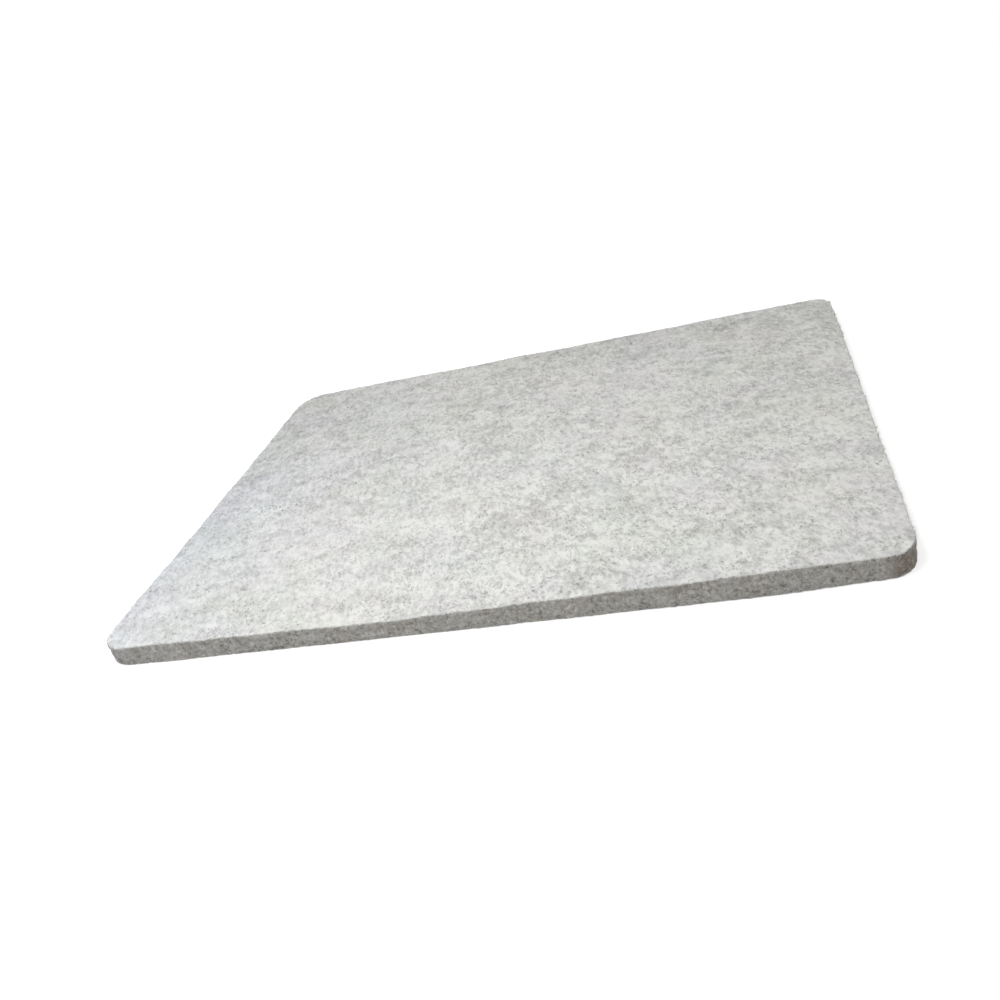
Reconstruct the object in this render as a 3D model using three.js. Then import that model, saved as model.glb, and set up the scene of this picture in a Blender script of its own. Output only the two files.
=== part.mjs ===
// Ironing pad: a thick mat of heather-grey wool felt that lies on a table and takes a hot iron.
// Three plies of needled wool lie on each other, are needled into one mat, and are then cut through
// together, so all of them share one outline with rounded corners and a square, raw edge.
// Millimetres, +Z up. The origin is the middle of the underside, and X runs along the long side.
import * as THREE from 'three';

// The mat in plan.
const padLength = 431.8;
const padDepth = 342.9;
const cornerRadius = 17;

// The plies, from the table up.
const backPlyThickness = 3.2;
const corePlyThickness = 6.3;
const facePlyThickness = 3.2;

// The cut edge. The blade leaves a small soft round where a face meets the edge, and the needling
// draws each ply's edge in a little where it meets the next ply.
const faceRound = 0.9;
const seamDraw = 0.3;
const seamRise = 0.6;

// How finely the round stretches are drawn: the corner in half steps of an arc's getPoints, which
// makes two of each, and the round of a face edge in whole steps.
const cornerHalfSteps = 6;
const roundSteps = 4;

// The wool, as sRGB colours.
const faceWool = 0xcecfcc;
const coreWool = 0xc6c4bf;
const woolRoughness = 1;

// The mat's outline drawn in by an inset all round, as a ring of points at one height.
function outlineRing({ inset, height }) {
  const radius = cornerRadius - inset;
  const cornerX = padLength / 2 - cornerRadius;
  const cornerY = padDepth / 2 - cornerRadius;
  const quarter = Math.PI / 2;
  const outline = new THREE.Path();
  outline.absarc(cornerX, cornerY, radius, 0, quarter);
  outline.absarc(-cornerX, cornerY, radius, quarter, 2 * quarter);
  outline.absarc(-cornerX, -cornerY, radius, 2 * quarter, 3 * quarter);
  outline.absarc(cornerX, -cornerY, radius, 3 * quarter, 4 * quarter);
  return outline.getPoints(cornerHalfSteps).map((point) => new THREE.Vector3(point.x, point.y, height));
}

// The profile of a rounded face edge, going in over the round as it goes away from the edge.
function roundedEnd() {
  const profile = [];
  for (let step = 0; step <= roundSteps; step += 1) {
    const angle = (Math.PI / 2) * (step / roundSteps);
    profile.push({ inset: faceRound * (1 - Math.cos(angle)), toFace: faceRound * (1 - Math.sin(angle)) });
  }
  return profile;
}

// The profile of an edge that is drawn in at the seam with the next ply.
function seamEnd() {
  return [
    { inset: 0, toFace: seamRise },
    { inset: seamDraw, toFace: 0 },
  ];
}

// A ply's closed solid: rings of the outline from its lower face to its upper one, and a flat cap
// on each. lowerEnd and upperEnd are edge profiles that run from the plain edge to a face.
function plyGeometry(thickness, lowerEnd, upperEnd) {
  const lowerRings = lowerEnd.map(({ inset, toFace }) => outlineRing({ inset, height: toFace })).reverse();
  const upperRings = upperEnd.map(({ inset, toFace }) => outlineRing({ inset, height: thickness - toFace }));
  const rings = [...lowerRings, ...upperRings];
  const count = rings[0].length;
  const faces = [];
  for (let ring = 0; ring + 1 < rings.length; ring += 1) {
    for (let here = 0; here < count; here += 1) {
      const next = (here + 1) % count;
      const below = ring * count;
      const above = below + count;
      faces.push(below + here, below + next, above + next);
      faces.push(below + here, above + next, above + here);
    }
  }
  const top = (rings.length - 1) * count;
  for (const [a, b, c] of THREE.ShapeUtils.triangulateShape(rings[0], [])) {
    faces.push(c, b, a);
    faces.push(top + a, top + b, top + c);
  }
  const geometry = new THREE.BufferGeometry().setFromPoints(rings.flat());
  geometry.setIndex(faces);
  geometry.computeVertexNormals();
  return geometry;
}

// One ply, lying with its lower face at a height above the table.
function ply(name, height, wool, geometry) {
  const material = new THREE.MeshStandardMaterial({ color: wool, roughness: woolRoughness, metalness: 0 });
  const mesh = new THREE.Mesh(geometry, material);
  mesh.name = name;
  mesh.position.z = height;
  return mesh;
}

const pad = new THREE.Group();
pad.name = 'ironing_pad';

// The back ply lies on the table. The mat can be turned over, so it is made like the face ply.
pad.add(ply('back_ply', 0, faceWool, plyGeometry(backPlyThickness, roundedEnd(), seamEnd())));

// The core ply is the thick, springy middle that holds the heat.
pad.add(ply('core_ply', backPlyThickness, coreWool, plyGeometry(corePlyThickness, seamEnd(), seamEnd())));

// The face ply is the working surface.
const faceHeight = backPlyThickness + corePlyThickness;
pad.add(ply('face_ply', faceHeight, faceWool, plyGeometry(facePlyThickness, seamEnd(), roundedEnd())));

export default pad;
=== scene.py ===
# Ironing pad: a thick wool felt mat with rounded corners and a raw cut edge, lying on a table.
import math

import bpy
import numpy as np
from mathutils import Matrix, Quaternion, Vector


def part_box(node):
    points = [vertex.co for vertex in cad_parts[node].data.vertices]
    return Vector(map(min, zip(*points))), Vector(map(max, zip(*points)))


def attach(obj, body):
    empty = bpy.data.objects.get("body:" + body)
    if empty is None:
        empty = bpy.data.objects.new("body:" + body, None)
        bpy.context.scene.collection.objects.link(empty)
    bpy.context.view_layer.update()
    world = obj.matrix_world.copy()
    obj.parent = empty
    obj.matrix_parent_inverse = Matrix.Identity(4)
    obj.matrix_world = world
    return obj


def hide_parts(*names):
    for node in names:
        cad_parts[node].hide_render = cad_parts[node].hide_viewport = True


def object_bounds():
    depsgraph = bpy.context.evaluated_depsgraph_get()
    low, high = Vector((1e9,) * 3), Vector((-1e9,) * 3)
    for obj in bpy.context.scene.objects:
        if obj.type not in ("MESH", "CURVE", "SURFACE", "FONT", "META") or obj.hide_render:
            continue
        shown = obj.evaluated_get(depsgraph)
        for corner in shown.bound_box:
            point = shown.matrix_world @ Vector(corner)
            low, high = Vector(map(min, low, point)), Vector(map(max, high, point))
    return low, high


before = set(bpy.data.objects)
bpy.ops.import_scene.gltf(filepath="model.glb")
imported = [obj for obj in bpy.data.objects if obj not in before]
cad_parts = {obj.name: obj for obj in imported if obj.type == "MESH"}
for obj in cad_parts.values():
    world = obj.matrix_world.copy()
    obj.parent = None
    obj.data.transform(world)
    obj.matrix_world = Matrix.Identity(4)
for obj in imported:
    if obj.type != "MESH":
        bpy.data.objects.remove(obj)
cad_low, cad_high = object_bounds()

# The face ply is the working surface: undyed pale wool with grey and charcoal wool carded into it.
# It is needled onto the core until the fibres lock, pressed flat, and die-cut with the other plies,
# so it has a firm, faintly lumpy face, a soft arris and a raw edge.
mm = 0.001
half_length = cad_high.x
half_depth = cad_high.y
mat_height = cad_high.z

# The die's corners aren't quite alike: near left, near right, far left, far right.
corner_radii = {(-1, -1): 18 * mm, (1, -1): 15 * mm, (-1, 1): 18 * mm, (1, 1): 14 * mm}


def corner_radius(x, y):
    """The radius of the corner nearest to each place."""
    near = np.where(x > 0, corner_radii[1, -1], corner_radii[-1, -1])
    far = np.where(x > 0, corner_radii[1, 1], corner_radii[-1, 1])
    return np.where(y > 0, far, near)


def place_on_mat(across, along, inset):
    """Where a square grid's points fall on the mat, whose border is the outline drawn in by the inset.
    across and along run from -1 to 1. A square corner of the grid is bent round into the mat's."""
    x = across * (half_length - inset)
    y = along * (half_depth - inset)
    radius = corner_radius(x, y) - inset
    straight_x = half_length - inset - radius
    straight_y = half_depth - inset - radius
    over_x = (np.abs(x) - straight_x) / radius
    over_y = (np.abs(y) - straight_y) / radius
    in_corner = (over_x > 0) & (over_y > 0)
    round_x = np.sign(x) * (straight_x + radius * over_x * np.sqrt(1 - over_y.clip(0, 1) ** 2 / 2))
    round_y = np.sign(y) * (straight_y + radius * over_y * np.sqrt(1 - over_x.clip(0, 1) ** 2 / 2))
    return np.where(in_corner, round_x, x), np.where(in_corner, round_y, y)


def nearest_edge(x, y):
    """How far each place lies inside the outline, and the way out to the edge as two parts."""
    radius = corner_radius(x, y)
    over_x = np.abs(x) - (half_length - radius)
    over_y = np.abs(y) - (half_depth - radius)
    in_corner = (over_x > 0) & (over_y > 0)
    reach = np.maximum(np.hypot(over_x, over_y), 1e-9)
    out_x = np.where(in_corner, over_x / reach, over_x > over_y)
    out_y = np.where(in_corner, over_y / reach, over_x <= over_y)
    inside = radius - np.where(in_corner, reach, np.maximum(over_x, over_y))
    return inside, out_x * np.sign(x), out_y * np.sign(y)


def random_lengths(chance, lengths, count):
    """Lengths between two limits, short ones as likely as long ones in proportion."""
    shortest, longest = lengths
    return np.exp(chance.uniform(math.log(shortest), math.log(longest), count))


def waves(seed, count, lengths, depth):
    """A gentle unevenness of felt: a sum of straight waves that run every way through the mat."""
    chance = np.random.default_rng(seed)
    heading = chance.normal(size=(count, 3))
    heading /= np.linalg.norm(heading, axis=1)[:, None]
    length = random_lengths(chance, lengths, count)
    start = chance.uniform(0, 2 * math.pi, count)

    def height(points):
        total = np.zeros(len(points))
        for way, long, first in zip(heading, length, start):
            total += np.cos(points @ way * (2 * math.pi / long) + first)
        return total * depth / math.sqrt(count / 2)

    return height


def smooth(share):
    """The share, held between 0 and 1 and easing at both ends."""
    share = np.clip(share, 0, 1)
    return share * share * (3 - 2 * share)


swells = waves(1, 16, (60 * mm, 160 * mm), 0.22 * mm)
hollows = waves(2, 30, (14 * mm, 40 * mm), 0.10 * mm)
lumps = waves(3, 60, (4 * mm, 10 * mm), 0.07 * mm)
seam_wander = waves(4, 40, (6 * mm, 40 * mm), 0.30 * mm)
cut_drift = waves(5, 20, (18 * mm, 70 * mm), 0.14 * mm)
cut_nicks = waves(6, 60, (2.2 * mm, 7 * mm), 0.12 * mm)

# The near edge is pressed thinner left of its middle, springs up right of it, and ends low in its corner.
dip_depth = 1.5 * mm
dip_middle = -45 * mm
dip_half_width = 150 * mm
rise_height = 1.1 * mm
rise_start = 20 * mm
rise_width = 130 * mm
low_depth = 1.4 * mm
low_start = 150 * mm
low_width = 60 * mm
press_reach = 55 * mm

# The blank lay a little askew in the die. The near edge runs outward to the right and draws in again at
# its corner, the left edge flares out at its near end, the right edge draws in there, and the far edge
# draws in all along.
skew_centre = -50 * mm
skew_slope = 0.007
skew_bow = 0.014
corner_draw = 2.6 * mm
corner_start = 140 * mm
corner_width = 75 * mm
flare_all = 0.3 * mm
flare_more = 1.2 * mm
flare_start = -60 * mm
flare_width = 70 * mm
right_draw = 0.8 * mm
right_start = 160 * mm
right_width = 240 * mm
far_draw = 0.7 * mm
skew_reach = 80 * mm

lump_depth = 2.5 * mm
nick_reach = 3 * mm


def settle(points):
    """Moves points of the true, flat mat to where the worn felt has them."""
    x, y, z = points.T
    inside, out_x, out_y = nearest_edge(x, y)
    flat = np.stack([x, y, 0 * z], 1)
    dip = dip_depth * smooth(1 - np.abs(x - dip_middle) / dip_half_width)
    rise = rise_height * smooth((x - rise_start) / rise_width)
    low = low_depth * smooth((x - low_start) / low_width)
    pressed = (rise - dip - low) * np.exp(-(y + half_depth) / press_reach)
    height_share = z / mat_height
    body = height_share * (swells(flat) + hollows(flat) + pressed)
    between = 4 * height_share * (1 - height_share)
    nap = lumps(flat)
    face_nap = smooth(1 - (mat_height - z) / lump_depth) * nap
    back_nap = smooth(1 - z / lump_depth) * np.abs(nap)

    over = x - skew_centre
    drawn = corner_draw * smooth((x - corner_start) / corner_width)
    near_out = skew_slope * over - skew_bow * over * over - drawn
    near_out = near_out * np.exp(-(y + half_depth) / skew_reach)
    flare = flare_all + flare_more * smooth((flare_start - y) / flare_width)
    left_out = flare * np.exp(-(x + half_length) / skew_reach)
    right_in = right_draw * smooth((right_start - y) / right_width) * np.exp(-(half_length - x) / skew_reach)
    far_in = far_draw * np.exp(-(half_depth - y) / skew_reach)
    ragged = (cut_drift(points) + cut_nicks(points)) * np.exp(-np.maximum(inside, 0) / nick_reach)
    new_x = x + out_x * ragged - left_out - right_in
    new_y = y + out_y * ragged - near_out - far_in
    return np.stack([new_x, new_y, z + body + between * seam_wander(flat) + face_nap + back_nap], 1)


felt_cell = 1.5 * mm
columns = round(2 * half_length / felt_cell)
rows = round(2 * half_depth / felt_cell)


def border(steps_across, steps_along):
    """Once round the border of a grid, from its near left corner: shares across and along the mat."""
    right = np.linspace(-1, 1, steps_across, endpoint=False)
    away = np.linspace(-1, 1, steps_along, endpoint=False)
    across = np.concatenate([right, np.ones(steps_along), -right, -np.ones(steps_along)])
    along = np.concatenate([-np.ones(steps_across), away, np.ones(steps_across), -away])
    return across, along


def edge_ring(inset, z):
    """A ring of points round the cut edge, two to each cell of the face."""
    x, y = place_on_mat(*border(2 * columns, 2 * rows), inset)
    return np.stack([x, y, np.full(len(x), z)], 1)


# The arris is worn round along the near edge, and is crisper elsewhere.
arris = 0.9 * mm
crisp_arris = 0.45 * mm
worn_reach = 25 * mm
arris_rings = 5
edge_step = 0.6 * mm
seam_step = 0.1 * mm

# Where the sides of a ply lie on its flat map: left, bottom, width and height, as shares of the map.
# The cut edge lies there as strips, one above another.
face_area = (0.004, 0.004, 0.992, 0.750)
hidden_area = (0.004, 0.978, 0.400, 0.018)
face_strips = (8, 0.760, 0.974)
core_strips = (16, 0.010, 0.970)
strip_left = 0.004
strip_width = 0.992
strip_gap = 0.2


def flat_map(points, area):
    """Where points of a face lie on the map, from their place on the mat."""
    left, bottom, width, height = area
    u = left + width * (points[:, 0] + half_length) / (2 * half_length)
    v = bottom + height * (points[:, 1] + half_depth) / (2 * half_depth)
    return np.stack([u, v], 1)


def strip_map(count, strips, depth, next_depth):
    """Where the quads between two rings lie on the map. The depths run from 0 to 1 down the edge."""
    number, bottom, top = strips
    pitch = (top - bottom) / number
    each = math.ceil(count / number)
    here = np.arange(count)
    left = (here % each) / each * strip_width + strip_left
    right = left + strip_width / each
    base = bottom + pitch * (here // each + strip_gap / 2)
    upper = base + pitch * (1 - strip_gap) * (1 - depth)
    lower = base + pitch * (1 - strip_gap) * (1 - next_depth)
    corners = [(left, upper), (left, lower), (right, lower), (right, upper)]
    return np.stack([np.stack(corner, 1) for corner in corners], 1)


def felt_object(name, points, faces, places, cut, hidden, materials):
    """A closed piece of felt. cut is 0 where a point is on a face and 1 where it is on the cut edge,
    places are the faces' corners on the flat map, and hidden says which faces touch another ply."""
    mesh = bpy.data.meshes.new(name)
    mesh.from_pydata(settle(points).tolist(), [], faces)
    mesh.attributes.new("cut", "FLOAT", "POINT").data.foreach_set("value", cut.astype(np.float32))
    places = np.concatenate(places).astype(np.float32)
    mesh.uv_layers.new(name="OFBake").data.foreach_set("uv", places.ravel())
    for material in materials:
        mesh.materials.append(material)
    mesh.polygons.foreach_set("material_index", np.array(hidden, dtype=np.int32))
    mesh.polygons.foreach_set("use_smooth", np.array(hidden) == 0)
    piece = bpy.data.objects.new(name, mesh)
    bpy.context.scene.collection.objects.link(piece)
    return piece


def edge_heights(start, end, starts_at_seam):
    """Heights along a stretch of cut edge that ends at a seam, its ends included. The narrow step beside
    a seam gives both plies the same shading there, so that no line shows between them."""
    heights = np.linspace(start, end, round(abs(end - start) / edge_step) + 1)
    narrow = math.copysign(seam_step, end - start)
    heights = np.append(heights, end - narrow)
    if starts_at_seam:
        heights = np.append(heights, start + narrow)
    return np.sort(heights) if end > start else np.sort(heights)[::-1]


def strip(first, count):
    """Quads between two rings of the same count, the second one lower."""
    here = np.arange(count)
    there = np.roll(here, -1)
    low = first + count
    return np.stack([first + here, low + here, low + there, first + there], 1).tolist()


def turned_over(faces, places):
    """The same faces with their corners in the opposite order, and those corners' places on the map."""
    places = np.concatenate(places)
    turned = []
    first = 0
    for face in faces:
        turned.append(places[first : first + len(face)][::-1])
        first += len(face)
    return [face[::-1] for face in faces], turned


def faced_ply(name, face_z, seam_z, materials):
    """A ply with one outer face: a fine grid, a soft arris, the cut edge, and a flat hidden side."""
    up = 1 if face_z > seam_z else -1
    across, along = np.meshgrid(np.linspace(-1, 1, columns + 1), np.linspace(-1, 1, rows + 1))
    x, y = place_on_mat(across.ravel(), along.ravel(), arris)
    points = [np.stack([x, y, np.full(len(x), face_z)], 1)]
    index = np.arange(len(x)).reshape(rows + 1, columns + 1)
    corners = [index[:-1, :-1], index[:-1, 1:], index[1:, 1:], index[1:, :-1]]
    faces = np.stack([corner.ravel() for corner in corners], 1).tolist()

    inner = np.concatenate([index[0, :-1], index[:-1, -1], index[-1, :0:-1], index[:0:-1, 0]])
    count = 2 * len(inner)
    worn = smooth(1 - (edge_ring(0, 0)[:, 1] + half_depth) / worn_reach)
    radius = crisp_arris + (arris - crisp_arris) * worn
    profile = []
    for step in range(1, arris_rings + 1):
        angle = math.pi / 2 * (1 - step / arris_rings)
        profile.append((radius * (1 - math.cos(angle)), face_z - up * radius * (1 - math.sin(angle))))
    heights = edge_heights(face_z - up * arris, seam_z, False)
    for z in heights[1:]:
        profile.append((0, z))
    start = len(x)
    for k, here in enumerate(inner):
        there = inner[(k + 1) % len(inner)]
        outer = start + 2 * k
        last = start + (2 * k + 2) % count
        faces += [[here, outer, outer + 1], [here, outer + 1, there], [there, outer + 1, last]]
    for inset, z in profile:
        points.append(edge_ring(inset, z))
    points = np.concatenate(points)
    places = [flat_map(points[np.concatenate(faces)], face_area)]

    arc_step = math.pi / 2 * arris / arris_rings
    steps = np.concatenate([np.full(arris_rings - 1, arc_step), np.abs(np.diff(heights))])
    depths = np.concatenate([[0], np.cumsum(steps)]) / steps.sum()
    for number in range(len(profile) - 1):
        faces += strip(start + number * count, count)
        places.append(strip_map(count, face_strips, depths[number], depths[number + 1]).reshape(-1, 2))
    seam = start + (len(profile) - 1) * count
    back = [seam + k for k in reversed(range(count))]
    places.append(flat_map(points[back], hidden_area))
    faces.append(back)
    hidden = [0] * (len(faces) - 1) + [1]
    if up < 0:
        faces, places = turned_over(faces, places)
    cut = np.concatenate([np.zeros(start), np.repeat(np.arange(1, len(profile) + 1) / arris_rings, count)])
    return felt_object(name, points, faces, places, cut.clip(0, 1), hidden, materials)


def add_node(tree, kind, inputs, **settings):
    """A shader node with its settings, and its inputs linked to sockets or set to values."""
    node = tree.nodes.new(kind)
    for name, value in settings.items():
        setattr(node, name, value)
    for name, value in inputs.items():
        if isinstance(value, bpy.types.NodeSocket):
            tree.links.new(value, node.inputs[name])
        else:
            node.inputs[name].default_value = value
    return node


def maths(tree, operation, first, second=0.0):
    """One step of arithmetic on sockets or values."""
    return add_node(tree, "ShaderNodeMath", {0: first, 1: second}, operation=operation).outputs[0]


def ramp(tree, value, low, high, to_low=0.0, to_high=1.0):
    """value taken from low..high to to_low..to_high, easing at both ends."""
    inputs = {"Value": value, "From Min": low, "From Max": high, "To Min": to_low, "To Max": to_high}
    return add_node(tree, "ShaderNodeMapRange", inputs, interpolation_type="SMOOTHSTEP").outputs[0]


def mottle(tree, place, size, strength, seed=0.0, detail=0.0):
    """Soft blotches of about the given size, around zero. Each seed has its own pattern."""
    inputs = {"Vector": place, "W": seed, "Scale": 1 / size, "Detail": detail, "Roughness": 0.6}
    noise = add_node(tree, "ShaderNodeTexNoise", inputs, noise_dimensions="4D").outputs["Fac"]
    return maths(tree, "MULTIPLY", maths(tree, "SUBTRACT", noise, 0.5), strength)


def total(tree, *values):
    """The sum of sockets or values."""
    so_far = values[0]
    for value in values[1:]:
        so_far = maths(tree, "ADD", so_far, value)
    return so_far


def blend(tree, share, first, second):
    """A colour between two others: the first where the share is 0, and the second where it is 1."""
    inputs = {"Factor": share, "A": first, "B": second}
    node = add_node(tree, "ShaderNodeMix", {}, data_type="RGBA")
    for name, value in inputs.items():
        socket = next(s for s in node.inputs if s.name == name and s.enabled)
        if isinstance(value, bpy.types.NodeSocket):
            tree.links.new(value, socket)
        else:
            socket.default_value = value
    return next(s for s in node.outputs if s.enabled)


def specks(tree, place, spacing, length, width, share):
    """One soft, bowed speck in about a share of the cells of a web, each lying its own way."""
    inputs = {"Vector": place, "Scale": 1 / spacing}
    web = add_node(tree, "ShaderNodeTexVoronoi", inputs, voronoi_dimensions="2D")
    inputs = {0: place, 1: web.outputs["Position"]}
    away = add_node(tree, "ShaderNodeVectorMath", inputs, operation="SUBTRACT")
    chance = add_node(tree, "ShaderNodeSeparateColor", {"Color": web.outputs["Color"]}).outputs
    turn = maths(tree, "MULTIPLY", chance["Red"], 2 * math.pi)
    inputs = {"Vector": away.outputs[0], "Angle": turn}
    turned = add_node(tree, "ShaderNodeVectorRotate", inputs, rotation_type="Z_AXIS").outputs[0]
    local = add_node(tree, "ShaderNodeSeparateXYZ", {"Vector": turned}).outputs
    bow = maths(tree, "MULTIPLY", maths(tree, "SUBTRACT", chance["Green"], 0.5), 1.6 / length)
    bend = maths(tree, "MULTIPLY", maths(tree, "MULTIPLY", local["X"], local["X"]), bow)
    off_line = maths(tree, "ABSOLUTE", maths(tree, "ADD", local["Y"], bend))
    beside = ramp(tree, off_line, 0.1 * width, 0.7 * width, 1.0, 0.0)
    along = ramp(tree, maths(tree, "ABSOLUTE", local["X"]), 0.15 * length, 0.55 * length, 1.0, 0.0)
    there = maths(tree, "LESS_THAN", chance["Blue"], share)
    return maths(tree, "MULTIPLY", maths(tree, "MULTIPLY", beside, along), there)


def felt_shader(tree, colour, height, relief):
    """A matt wool surface with a faint sheen, raised by the height."""
    inputs = {"Height": height, "Strength": 1.0, "Distance": relief}
    bump = add_node(tree, "ShaderNodeBump", inputs).outputs[0]
    inputs = {
        "Base Color": colour,
        "Roughness": 0.95,
        "Specular IOR Level": 0.15,
        "Sheen Weight": 0.40,
        "Sheen Roughness": 0.5,
        "Normal": bump,
    }
    shader = add_node(tree, "ShaderNodeBsdfPrincipled", inputs)
    add_node(tree, "ShaderNodeOutputMaterial", {"Surface": shader.outputs[0]})


def new_tree(name):
    """A new material, and its node tree, which is still empty."""
    material = bpy.data.materials.new(name)
    material.use_nodes = True
    material.node_tree.nodes.clear()
    return material, material.node_tree


white_wool = (0.86, 0.855, 0.825, 1)
pale_wool = (0.765, 0.762, 0.735, 1)
grey_wool = (0.355, 0.355, 0.343, 1)
charcoal_wool = (0.11, 0.11, 0.106, 1)
lilac_wool = (0.650, 0.586, 0.700, 1)
sage_wool = (0.592, 0.656, 0.511, 1)
peach_wool = (0.657, 0.602, 0.554, 1)
bluish_wool = (0.579, 0.633, 0.651, 1)
cut_wool = (0.54, 0.525, 0.495, 1)
dark_cut_wool = (0.26, 0.245, 0.22, 1)
pale_cut_wool = (0.72, 0.71, 0.68, 1)
warm_cut_wool = (0.515, 0.455, 0.395, 1)
painted_brown_reflection = (0.25, 0.19, 0.14, 1)
felt_relief = 0.26 * mm

# The wool is laid mostly along the mat, a little askew, so its blotches are longer that way. The fine
# grain on top of them is longer the other way, from the near edge to the far one. About a quarter of the
# wool is grey, and all of it drifts a little in colour from place to place.
grey_amount = 0.24
drift_range = 0.35
drift_strength = 0.14
lay_turn = math.radians(-20)
lay_stretch = 1.4
grain_turn = math.radians(114)
grain_stretch = 1.7

# The blotches are fainter round the near left corner.
even_place = (-half_length, -half_depth, mat_height)
even_heart = 90 * mm
even_rim = 260 * mm
even_share = 0.76

# Painted shade: the face is painted greyer along the left edge and along the right part of the far one,
# where less light falls. Each stretch lies inside a wide circle round a place outside the mat.
painted_shade_reach = 250 * mm
painted_shade_rim = 345 * mm
painted_shade_amount = 0.16
painted_shade_places = (
    (-half_length - painted_shade_reach, 50 * mm, mat_height),
    (110 * mm, half_depth + painted_shade_reach, mat_height),
)

# The cut edge is painted dark brown round its near right corner: a painted reflection of a brown surface
# with painted shade, broken into specks.
painted_corner_place = (half_length - 0.5 * mm, -half_depth + 12 * mm, 0.4 * mat_height)
painted_corner_heart = 11 * mm
painted_corner_rim = 22 * mm


def stretched(tree, place, turn, stretch):
    """Places for a pattern that is stretched one way in the plane of the mat and squeezed the other."""
    longer = math.sqrt(stretch)
    inputs = {"Vector": place, "Rotation": (0, 0, turn), "Scale": (longer, 1 / longer, 1)}
    return add_node(tree, "ShaderNodeMapping", inputs, vector_type="TEXTURE").outputs[0]


def distance(tree, place, point):
    """How far each place is from a point."""
    inputs = {0: place, 1: point}
    return add_node(tree, "ShaderNodeVectorMath", inputs, operation="DISTANCE").outputs["Value"]


def felt_material(name):
    """Heather-grey felt on the faces, and the warmer, open ends of the fibres on the cut edge."""
    material, tree = new_tree(name)
    place = add_node(tree, "ShaderNodeTexCoord", {}).outputs["Object"]
    laid = stretched(tree, place, lay_turn, lay_stretch)
    grain = stretched(tree, place, grain_turn, grain_stretch)

    grey_share = total(
        tree,
        mottle(tree, laid, 45 * mm, 0.34, 1),
        mottle(tree, laid, 18 * mm, 0.47, 2),
        mottle(tree, laid, 8 * mm, 0.82, 3),
        mottle(tree, grain, 4 * mm, 1.10, 4),
        mottle(tree, grain, 2 * mm, 0.68, 5),
    )
    from_even = distance(tree, place, even_place)
    grey_share = maths(tree, "MULTIPLY", grey_share, ramp(tree, from_even, even_heart, even_rim, even_share))
    # Painted shade: greyer towards the left edge and the right part of the far edge.
    for painted_shade_place in painted_shade_places:
        from_place = distance(tree, place, painted_shade_place)
        painted_shade = ramp(tree, from_place, painted_shade_reach, painted_shade_rim, painted_shade_amount, 0.0)
        grey_share = maths(tree, "ADD", grey_share, painted_shade)
    face = blend(tree, maths(tree, "ADD", grey_share, grey_amount), pale_wool, grey_wool)
    clump = ramp(tree, mottle(tree, laid, 14 * mm, 1.0, 7, detail=2), -0.10, 0.16, 0.05, 1.0)
    broad_speck = specks(tree, grain, 2.4 * mm, 1.8 * mm, 1.5 * mm, clump)
    small_speck = specks(tree, grain, 1.4 * mm, 1.1 * mm, 0.8 * mm, clump)
    pale_speck = specks(tree, grain, 1.8 * mm, 1.4 * mm, 1.1 * mm, 0.5)
    speck_layers = (
        (pale_speck, white_wool, 0.23),
        (broad_speck, charcoal_wool, 0.25),
        (small_speck, charcoal_wool, 0.12),
    )
    for speck, speck_colour, strength in speck_layers:
        face = blend(tree, maths(tree, "MULTIPLY", speck, strength), face, speck_colour)
    hair_length = 2.6 * mm
    hair_width = 0.11 * mm
    hair_layers = (
        (2.3 * mm, grey_wool, 0.20),
        (2.0 * mm, white_wool, 0.27),
        (1.7 * mm, grey_wool, 0.15),
        (1.5 * mm, white_wool, 0.24),
    )
    hairs = []
    for spacing, hair_colour, strength in hair_layers:
        hair = specks(tree, place, spacing, hair_length, hair_width, 0.9)
        face = blend(tree, maths(tree, "MULTIPLY", hair, strength), face, hair_colour)
        hairs.append(hair)
    for seed, one_way, other_way in ((20, lilac_wool, sage_wool), (30, peach_wool, bluish_wool)):
        drift = total(
            tree,
            mottle(tree, place, 50 * mm, 1.0, seed),
            mottle(tree, place, 22 * mm, 0.8, seed + 2),
            mottle(tree, place, 10 * mm, 0.5, seed + 4),
        )
        for furthest, drift_colour in ((drift_range, one_way), (-drift_range, other_way)):
            face = blend(tree, ramp(tree, drift, 0.0, furthest, 0.0, drift_strength), face, drift_colour)

    speckle = total(
        tree,
        mottle(tree, place, 5 * mm, 0.62, 10),
        mottle(tree, place, 2.2 * mm, 1.08, 11),
        mottle(tree, place, 1.1 * mm, 1.06, 12),
        mottle(tree, place, 0.6 * mm, 0.58, 13),
    )
    warmth = ramp(tree, mottle(tree, place, 14 * mm, 1.0, 14, detail=2), -0.1, 0.25, 0.0, 0.6)
    cut = blend(tree, warmth, cut_wool, warm_cut_wool)
    for furthest, speckle_colour in ((0.55, pale_cut_wool), (-0.55, dark_cut_wool)):
        cut = blend(tree, ramp(tree, speckle, 0.0, furthest), cut, speckle_colour)
    for spacing, end_colour in ((0.8 * mm, dark_cut_wool), (0.9 * mm, pale_cut_wool)):
        web = add_node(tree, "ShaderNodeTexVoronoi", {"Vector": place, "Scale": 1 / spacing}).outputs
        some = add_node(tree, "ShaderNodeSeparateColor", {"Color": web["Color"]}).outputs["Red"]
        end = ramp(tree, web["Distance"], 0.08, 0.32, 0.6, 0.0)
        cut = blend(tree, maths(tree, "MULTIPLY", end, maths(tree, "LESS_THAN", some, 0.5)), cut, end_colour)
    # Painted reflection and painted shade: the cut edge turns dark brown round its near right corner.
    painted_corner_share = ramp(tree, distance(tree, place, painted_corner_place), painted_corner_heart, painted_corner_rim, 0.85, 0.0)
    painted_corner_specks = ramp(tree, mottle(tree, place, 1.6 * mm, 1.0, 15), -0.3, 0.2, 0.4, 1.2)
    cut = blend(tree, maths(tree, "MULTIPLY", painted_corner_share, painted_corner_specks), cut, painted_brown_reflection)

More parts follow.
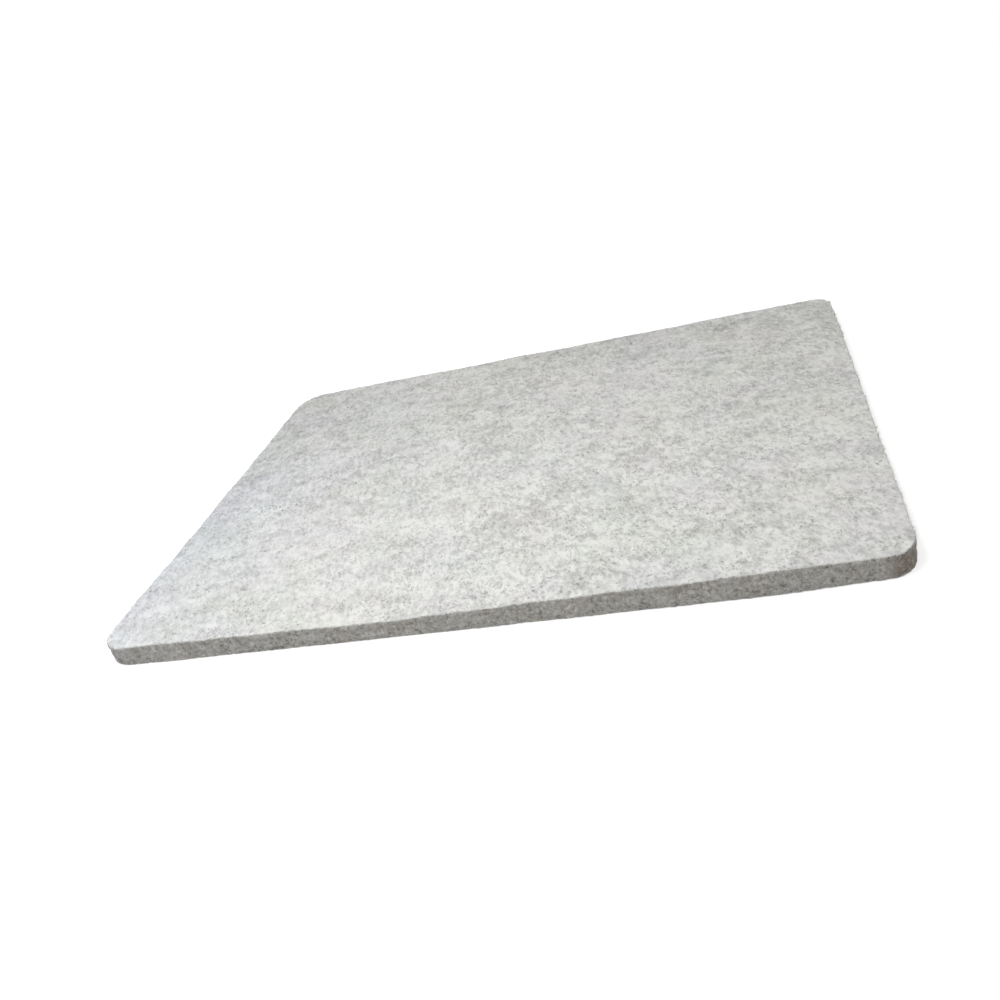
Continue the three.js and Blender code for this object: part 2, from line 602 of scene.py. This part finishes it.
    cut_share = add_node(tree, "ShaderNodeAttribute", {}, attribute_name="cut").outputs["Fac"]
    # Painted light: the face colour is painted paler over the arris, lifting the shade that falls on its
    # rim.
    face = blend(tree, ramp(tree, cut_share, 0.1, 0.6, 0.0, 0.8), face, pale_wool)
    frayed = maths(tree, "ADD", cut_share, mottle(tree, place, 1.2 * mm, 1.3, 16, detail=2))
    on_cut = ramp(tree, frayed, 0.60, 0.92)

    face_height = total(
        tree,
        mottle(tree, grain, 2.2 * mm, 1.2, 17),
        mottle(tree, grain, 0.9 * mm, 0.8, 18),
        maths(tree, "MULTIPLY", pale_speck, 0.35),
        maths(tree, "MULTIPLY", broad_speck, -0.35),
        maths(tree, "MULTIPLY", total(tree, *hairs), 0.15),
    )
    fine_grain = mottle(tree, place, 0.45 * mm, 0.7, 19)
    cut_height = maths(tree, "ADD", maths(tree, "MULTIPLY", speckle, 0.7), fine_grain)
    height = add_node(tree, "ShaderNodeMix", {0: on_cut, 2: face_height, 3: cut_height}).outputs[0]
    felt_shader(tree, blend(tree, on_cut, face, cut), height, felt_relief)
    return material


def needled_material(name):
    """The side of a ply that another ply is needled to: even, loose wool, seen only if they part."""
    material, tree = new_tree(name)
    place = add_node(tree, "ShaderNodeTexCoord", {}).outputs["Object"]
    cloud = mottle(tree, place, 60 * mm, 0.5)
    felt_shader(tree, blend(tree, maths(tree, "ADD", cloud, 0.5), grey_wool, cut_wool), cloud, felt_relief)
    return material


face_felt = [felt_material("face_felt"), needled_material("needled_side")]
face_low, face_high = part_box("face_ply")
face_ply = faced_ply("face_ply_felt", face_high.z, face_low.z, face_felt)
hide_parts("face_ply")
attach(face_ply, "root")

# The fibres of the working face are the wool that the pressing leaves standing: little tufts of charcoal
# wool, gathered more in some places than in others, and single pale hairs. Both their ends are in the felt.
fibre_joints = 5
fibre_sides = 3
fibre_sink = 0.12 * mm
fibre_bias = 1.6
fibre_margin = 0.8 * mm
fibre_relief = 0.02 * mm
fibre_bow = 0.18
fibre_curl = 0.14
width_shares = (0.7, 1.3)

# On its flat map a fibre stands as a narrow strip: its tone says how far to the right, and its sides lie
# close beside each other.
map_border = 0.03
tone_width = 0.92
side_width = 0.006
reach_height = 0.94


def fibres(name, middle, out, way, length, width, stand, bow, curl, tone, material):
    """Curled fibres, each a closed spindle with two pointed ends. Each lies along its way over its
    middle, stands up and bows aside there, and its two ends are sunk in the felt. curl is how far it
    swings aside the other way in each half."""
    count = len(middle)
    beside = np.cross(out, way)
    share = np.linspace(-1, 1, fibre_joints)
    hump = 1 - share**2
    spine = middle[:, None] + way[:, None] * (length[:, None] / 2 * share)[:, :, None]
    spine += beside[:, None] * (bow[:, None] * hump + curl[:, None] * np.sin(math.pi * share))[:, :, None]
    spine += out[:, None] * (stand[:, None] * hump - fibre_sink * share**2)[:, :, None]
    rings = []
    tones = []
    for side in range(fibre_sides):
        angle = 2 * math.pi * side / fibre_sides
        across = beside * math.cos(angle) + out * math.sin(angle)
        thick = width[:, None] / 2 * np.sqrt(hump[1:-1])
        rings.append(spine[:, 1:-1] + across[:, None] * thick[:, :, None])
        side_tone = map_border + tone_width * tone + side_width * side
        tones.append(np.repeat(side_tone[:, None], fibre_joints - 2, axis=1))
    rings = np.stack(rings, 2).reshape(count, -1, 3)
    points = np.concatenate([spine[:, :1], rings, spine[:, -1:]], 1)
    ends = (map_border + side_width + tone_width * tone)[:, None]
    tones = np.concatenate([ends, np.stack(tones, 2).reshape(count, -1), ends], 1)
    reach = np.concatenate([[0], np.repeat((share[1:-1] + 1) / 2, fibre_sides), [1]])
    reach = np.tile(map_border + reach_height * reach, (count, 1))

    pattern = []
    last = 1 + fibre_sides * (fibre_joints - 2)
    for side in range(fibre_sides):
        after = (side + 1) % fibre_sides
        pattern.append((0, 1 + after, 1 + side))
        for ring in range(fibre_joints - 3):
            low = 1 + fibre_sides * ring
            high = low + fibre_sides
            pattern.append((low + side, low + after, high + after))
            pattern.append((low + side, high + after, high + side))
        pattern.append((last - fibre_sides + side, last - fibre_sides + after, last))
    faces = (np.arange(count)[:, None, None] * (last + 1) + np.array(pattern)).reshape(-1, 3)

    mesh = bpy.data.meshes.new(name)
    mesh.from_pydata(settle(points.reshape(-1, 3)).tolist(), [], faces.tolist())
    tone_and_reach = np.stack([tones.ravel(), reach.ravel()], 1).astype(np.float32)
    mesh.attributes.new("tone", "FLOAT", "POINT").data.foreach_set("value", tone_and_reach[:, 0].copy())
    mesh.attributes.new("reach", "FLOAT", "POINT").data.foreach_set("value", tone_and_reach[:, 1].copy())
    mesh.uv_layers.new(name="OFBake").data.foreach_set("uv", tone_and_reach[faces.ravel()].ravel())
    mesh.materials.append(material)
    mesh.shade_smooth()
    piece = bpy.data.objects.new(name, mesh)
    bpy.context.scene.collection.objects.link(piece)
    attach(piece, "root")
    return piece


def fibre_material(name, dark, middling, pale, tip):
    """Wool fibres from dark to pale by their tone, each a little different towards its tips."""
    material, tree = new_tree(name)
    tone = add_node(tree, "ShaderNodeAttribute", {}, attribute_name="tone").outputs["Fac"]
    reach = add_node(tree, "ShaderNodeAttribute", {}, attribute_name="reach").outputs["Fac"]
    colour = blend(tree, ramp(tree, tone, 0.25, 0.50), dark, middling)
    colour = blend(tree, ramp(tree, tone, 0.50, 0.75), colour, pale)
    to_tip = ramp(tree, maths(tree, "ABSOLUTE", maths(tree, "SUBTRACT", reach, 0.5)), 0.1, 0.5, 0.0, 0.5)
    felt_shader(tree, blend(tree, to_tip, colour, tip), to_tip, fibre_relief)
    return material


tuft_clumps = waves(7, 80, (7 * mm, 45 * mm), 1.0)


def scattered(chance, count, gathering):
    """Places all over a face, more of them where the clumps are."""
    kept = np.zeros((0, 3))
    while len(kept) < count:
        tried = chance.uniform(-1, 1, (count, 3)) * (half_length, half_depth, 0)
        inside = nearest_edge(tried[:, 0], tried[:, 1])[0] > fibre_margin
        likely = smooth(0.5 + gathering * tuft_clumps(tried)) > chance.uniform(0, 1, count)
        kept = np.concatenate([kept, tried[inside & likely]])
    return kept[:count]


def tufted(chance, count, each, spread, gathering):
    """The middles of fibres that lie several to a tuft."""
    middles = np.repeat(scattered(chance, count, gathering), each, axis=0)
    jitter = chance.normal(0, spread, middles.shape) * (1, 1, 0)
    return middles + jitter


def face_fibres(name, seed, middles, height, up, lengths, width, rises, tone, material):
    """Fibres that lie on a face every way, though more of them along the grain than over it.
    rises says how high they stand, in shares of their length."""
    chance = np.random.default_rng(seed)
    count = len(middles)
    turn = chance.uniform(0, 2 * math.pi, count)
    along_grain = np.array((math.cos(grain_turn), math.sin(grain_turn), 0))
    over_grain = np.array((-math.sin(grain_turn), math.cos(grain_turn), 0))
    way = fibre_bias * np.cos(turn)[:, None] * along_grain + np.sin(turn)[:, None] * over_grain
    way /= np.linalg.norm(way, axis=1)[:, None]
    length = random_lengths(chance, lengths, count)
    return fibres(
        name,
        middle=middles * (1, 1, 0) + (0, 0, height),
        out=np.tile((0, 0, up), (count, 1)),
        way=way,
        length=length,
        width=width * chance.uniform(*width_shares, count),
        stand=length * chance.uniform(*rises, count),
        bow=chance.normal(0, fibre_bow, count) * length,
        curl=chance.normal(0, fibre_curl, count) * length,
        tone=tone,
        material=material,
    )


face_fibre = fibre_material("face_fibres", charcoal_wool, grey_wool, white_wool, pale_wool)
dark_layers = 4
tuft_count = 3600
tuft_fibres = 3
tuft_spread = 0.25 * mm
tuft_gathering = 0.45
tuft_lengths = (0.8 * mm, 2.0 * mm)
dark_width = 0.10 * mm
dark_rises = (0.06, 0.42)
dark_tones = (0.46, 0.70)
for layer in range(dark_layers):
    chance = np.random.default_rng(20 + layer)
    middles = tufted(chance, tuft_count, tuft_fibres, tuft_spread, tuft_gathering)
    tones = np.repeat(chance.uniform(*dark_tones, tuft_count), tuft_fibres)
    name = "face_dark_fibres_%d" % (layer + 1)
    dark = face_fibres(
        name,
        30 + layer,
        middles,
        height=face_high.z,
        up=1,
        lengths=tuft_lengths,
        width=dark_width,
        rises=dark_rises,
        tone=tones,
        material=face_fibre,
    )

pale_layers = 2
pale_count = 11000
pale_gathering = 0.1
pale_lengths = (1.2 * mm, 3.2 * mm)
pale_width = 0.09 * mm
pale_rises = (0.04, 0.30)
pale_tones = (0.60, 0.90)
for layer in range(pale_layers):
    chance = np.random.default_rng(50 + layer)
    middles = scattered(chance, pale_count, pale_gathering)
    tones = chance.uniform(*pale_tones, pale_count)
    name = "face_pale_fibres_%d" % (layer + 1)
    pale = face_fibres(
        name,
        60 + layer,
        middles,
        height=face_high.z,
        up=1,
        lengths=pale_lengths,
        width=pale_width,
        rises=pale_rises,
        tone=tones,
        material=face_fibre,
    )

# The core ply is the springy middle, twice as thick as the others, of coarser and warmer grey wool.
# It is held by the fibres that the needles push through it, and it shows only where the die cut it.


def core_ply_mesh(name, low_z, high_z, materials):
    """The middle ply: a cut edge between two flat, hidden sides."""
    heights = edge_heights(high_z, low_z, True)
    rings = np.concatenate([edge_ring(0, z) for z in heights])
    count = len(rings) // len(heights)
    depths = (high_z - heights) / (high_z - low_z)
    top = list(range(count))
    bottom = [(len(heights) - 1) * count + k for k in reversed(range(count))]
    faces = []
    places = []
    for number in range(len(heights) - 1):
        faces += strip(number * count, count)
        places.append(strip_map(count, core_strips, depths[number], depths[number + 1]).reshape(-1, 2))
    hidden = [0] * len(faces) + [1, 1]
    for side in (top, bottom):
        faces.append(side)
        places.append(flat_map(rings[side], hidden_area))
    return felt_object(name, rings, faces, places, np.ones(len(rings)), hidden, materials)


core_felt = [felt_material("core_felt"), face_felt[1]]
core_low, core_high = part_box("core_ply")
core_ply = core_ply_mesh("core_ply_felt", core_low.z, core_high.z, core_felt)
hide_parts("core_ply")
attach(core_ply, "root")

# The back ply lies on the table. It is the same wool as the face ply, because the mat can be turned
# over, and it is needled to the core and cut in the same stroke. Its own tufts are pressed flatter.
back_low, back_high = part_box("back_ply")
back_ply = faced_ply("back_ply_felt", back_low.z, back_high.z, face_felt)
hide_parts("back_ply")
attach(back_ply, "root")

back_width = 0.11 * mm
back_rises = (0.01, 0.05)
back_tones = (0.30, 0.60)
chance = np.random.default_rng(70)
middles = tufted(chance, tuft_count, tuft_fibres, tuft_spread, tuft_gathering)
tones = np.repeat(chance.uniform(*back_tones, tuft_count), tuft_fibres)
back_dark = face_fibres(
    "back_dark_fibres",
    34,
    middles,
    height=back_low.z,
    up=-1,
    lengths=tuft_lengths,
    width=back_width,
    rises=back_rises,
    tone=tones,
    material=face_fibre,
)

# The cut ends are the fibres that the die sheared through, all round the edge of each ply. They stand
# out a little, lie every way, and hide the seams because they reach past them. Pale hairs of the face
# hang over the top arris.
end_lengths = (0.5 * mm, 1.5 * mm)
end_width = 0.13 * mm
end_width_shares = (0.7, 1.4)
end_stands = (0.02 * mm, 0.30 * mm)
end_bow = 0.2
end_curl = 0.08
end_tone_power = 0.8
seam_cover = 0.6 * mm
arris_clear = 1.4 * arris
just_inside = 0.999


def along_edge(chance, low_z, high_z, count):
    """Places on the cut edge, with the ways out of it and along it, taken just inside the outline."""
    ring = edge_ring(0, 0)
    start = chance.integers(0, len(ring), count)
    share = chance.uniform(0, 1, count)[:, None]
    place = ring[start] * (1 - share) + np.roll(ring, -1, axis=0)[start] * share
    place[:, 2] = chance.uniform(low_z, high_z, count)
    _, out_x, out_y = nearest_edge(place[:, 0] * just_inside, place[:, 1] * just_inside)
    out = np.stack([out_x, out_y, 0 * out_x], 1)
    along = np.stack([-out_y, out_x, 0 * out_x], 1)
    return place, out, along


cut_fibre = fibre_material("cut_fibres", dark_cut_wool, cut_wool, pale_cut_wool, cut_wool)


def cut_ends(name, seed, count, low_z, high_z):
    """Short sheared fibres on a stretch of the cut edge, the pale ones a little more frequent."""
    chance = np.random.default_rng(seed)
    place, out, along = along_edge(chance, low_z, high_z, count)
    turn = chance.uniform(0, 2 * math.pi, count)[:, None]
    way = np.cos(turn) * along + np.sin(turn) * np.array((0, 0, 1.0))
    length = random_lengths(chance, end_lengths, count)
    piece = fibres(
        name,
        middle=place,
        out=out,
        way=way,
        length=length,
        width=end_width * chance.uniform(*end_width_shares, count),
        stand=chance.uniform(*end_stands, count),
        bow=chance.normal(0, end_bow, count) * length,
        curl=chance.normal(0, end_curl, count) * length,
        tone=chance.uniform(0, 1, count) ** end_tone_power,
        material=cut_fibre,
    )


cut_ends("face_cut_ends", 41, 6500, face_low.z - seam_cover, face_high.z - arris_clear)
cut_ends("core_cut_ends", 42, 11000, core_low.z - seam_cover, core_high.z + seam_cover)
cut_ends("back_cut_ends", 43, 6000, back_low.z + arris, back_high.z + seam_cover)

# The roots of the overhanging hairs lie in the arris. Their insets from the edge and their drops below
# the face are shares of its radius.
overhang_lengths = (0.7 * mm, 2.6 * mm)
overhang_width = 0.09 * mm
overhang_stands = (0.05 * mm, 0.25 * mm)
overhang_leans = (math.radians(-55), math.radians(25))
overhang_swing = 0.6
overhang_bow = 0.15
overhang_curl = 0.08
overhang_middle = 0.4
root_insets = (0.25, 0.75)
root_drops = (0.1, 0.3)


def overhang(name, seed, count, material):
    """Pale hairs of the face that lean out over the top arris, their tips free."""
    chance = np.random.default_rng(seed)
    place, out, along = along_edge(chance, face_high.z, face_high.z, count)
    lean = chance.uniform(*overhang_leans, count)[:, None]
    swing = chance.normal(0, overhang_swing, count)[:, None]
    level = np.cos(swing) * out + np.sin(swing) * along
    way = np.cos(lean) * level + np.sin(lean) * np.array((0, 0, 1.0))
    up = np.cross(np.cross(way, (0, 0, 1.0)), way)
    up /= np.linalg.norm(up, axis=1)[:, None]
    length = random_lengths(chance, overhang_lengths, count)
    root = place - out * (arris * chance.uniform(*root_insets, count))[:, None]
    root[:, 2] -= arris * chance.uniform(*root_drops, count)
    piece = fibres(
        name,
        middle=root + way * length[:, None] * overhang_middle,
        out=up,
        way=way,
        length=length,
        width=overhang_width * chance.uniform(*width_shares, count),
        stand=chance.uniform(*overhang_stands, count),
        bow=chance.normal(0, overhang_bow, count) * length,
        curl=chance.normal(0, overhang_curl, count) * length,
        tone=chance.uniform(0, 1, count),
        material=material,
    )


overhang("arris_hairs", 44, 9000, fibre_material("arris_hairs", grey_wool, pale_wool, white_wool, pale_wool))

# The table is a plain pale top. It looks white to the camera and keeps the mat's soft shadow, and it
# throws back less light than it shows, so that the cut edge stays as dark as it is.
table_size = 6.0
bpy.ops.mesh.primitive_plane_add(size=table_size, location=(0, 0, 0))
table = bpy.context.object
table.name = "table_top"
table_finish, table_tree = new_tree("table_top")


def lit_or_seen(tree, lit, seen):
    """The shader seen, for rays that show the background: from the camera, a gloss or clear stuff. The
    shader lit, for rays that light the mat."""
    rays = add_node(tree, "ShaderNodeLightPath", {}).outputs
    direct = maths(tree, "MAXIMUM", rays["Is Camera Ray"], rays["Is Glossy Ray"])
    direct = maths(tree, "MAXIMUM", direct, rays["Is Transmission Ray"])
    inputs = {0: direct, 1: lit.outputs[0], 2: seen.outputs[0]}
    return add_node(tree, "ShaderNodeMixShader", inputs).outputs[0]


table_bounce = add_node(table_tree, "ShaderNodeBsdfDiffuse", {"Color": (0.40, 0.40, 0.40, 1)})
table_shown = add_node(table_tree, "ShaderNodeBsdfDiffuse", {"Color": (0.75, 0.75, 0.75, 1)})
table_glow = add_node(table_tree, "ShaderNodeEmission", {"Color": (1, 1, 1, 1), "Strength": 0.57})
table_parts = {0: table_shown.outputs[0], 1: table_glow.outputs[0]}
table_white = add_node(table_tree, "ShaderNodeAddShader", table_parts)
table_surface = lit_or_seen(table_tree, table_bounce, table_white)
add_node(table_tree, "ShaderNodeOutputMaterial", {"Surface": table_surface})
table.data.materials.append(table_finish)

# The light is an even room and one large soft lamp, half a metre over the near left part of the mat. A
# weak cool light comes in low from the left and tints that side.
room = bpy.data.worlds.new("room")
bpy.context.scene.world = room
room.use_nodes = True
room_tree = room.node_tree
room_tree.nodes.clear()
room_light = add_node(room_tree, "ShaderNodeBackground", {"Color": (1.0, 0.997, 0.985, 1), "Strength": 0.59})
room_shown = add_node(room_tree, "ShaderNodeBackground", {"Color": (1, 1, 1, 1), "Strength": 1.0})
add_node(room_tree, "ShaderNodeOutputWorld", {"Surface": lit_or_seen(room_tree, room_light, room_shown)})


def square_light(name, place, size, power, colour):
    """A soft square light that shines straight down and isn't seen itself."""
    light = bpy.data.lights.new(name, "AREA")
    light.shape = "SQUARE"
    light.size = size
    light.energy = power
    light.color = colour
    lamp = bpy.data.objects.new(name, light)
    lamp.location = place
    lamp.visible_camera = False
    bpy.context.scene.collection.objects.link(lamp)


square_light("soft_lamp", (-0.085, -0.205, 0.52), size=0.30, power=1.87, colour=(0.98, 0.99, 1.0))
square_light("window_light", (-0.33, -0.09, 0.13), size=0.20, power=0.075, colour=(0.2, 0.4, 1.0))

# The camera stands in front of the mat, right of its middle, and looks down across it with a tilt.
camera_place = Vector((0.15865, -0.53555, 0.26794))
looked_at = Vector((0.0033, -0.0652, mat_height))
camera_roll = math.radians(-17.17)
camera_data = bpy.data.cameras.new("camera")
camera_data.sensor_width = 36
camera_data.lens = 33.99
camera = bpy.data.objects.new("camera", camera_data)
camera.location = camera_place
upright_turn = (looked_at - camera_place).to_track_quat("-Z", "Y")
camera.rotation_mode = "QUATERNION"
camera.rotation_quaternion = upright_turn @ Quaternion((0, 0, 1), camera_roll)
bpy.context.scene.collection.objects.link(camera)
bpy.context.scene.camera = camera
bpy.context.scene.view_settings.view_transform = "Standard"
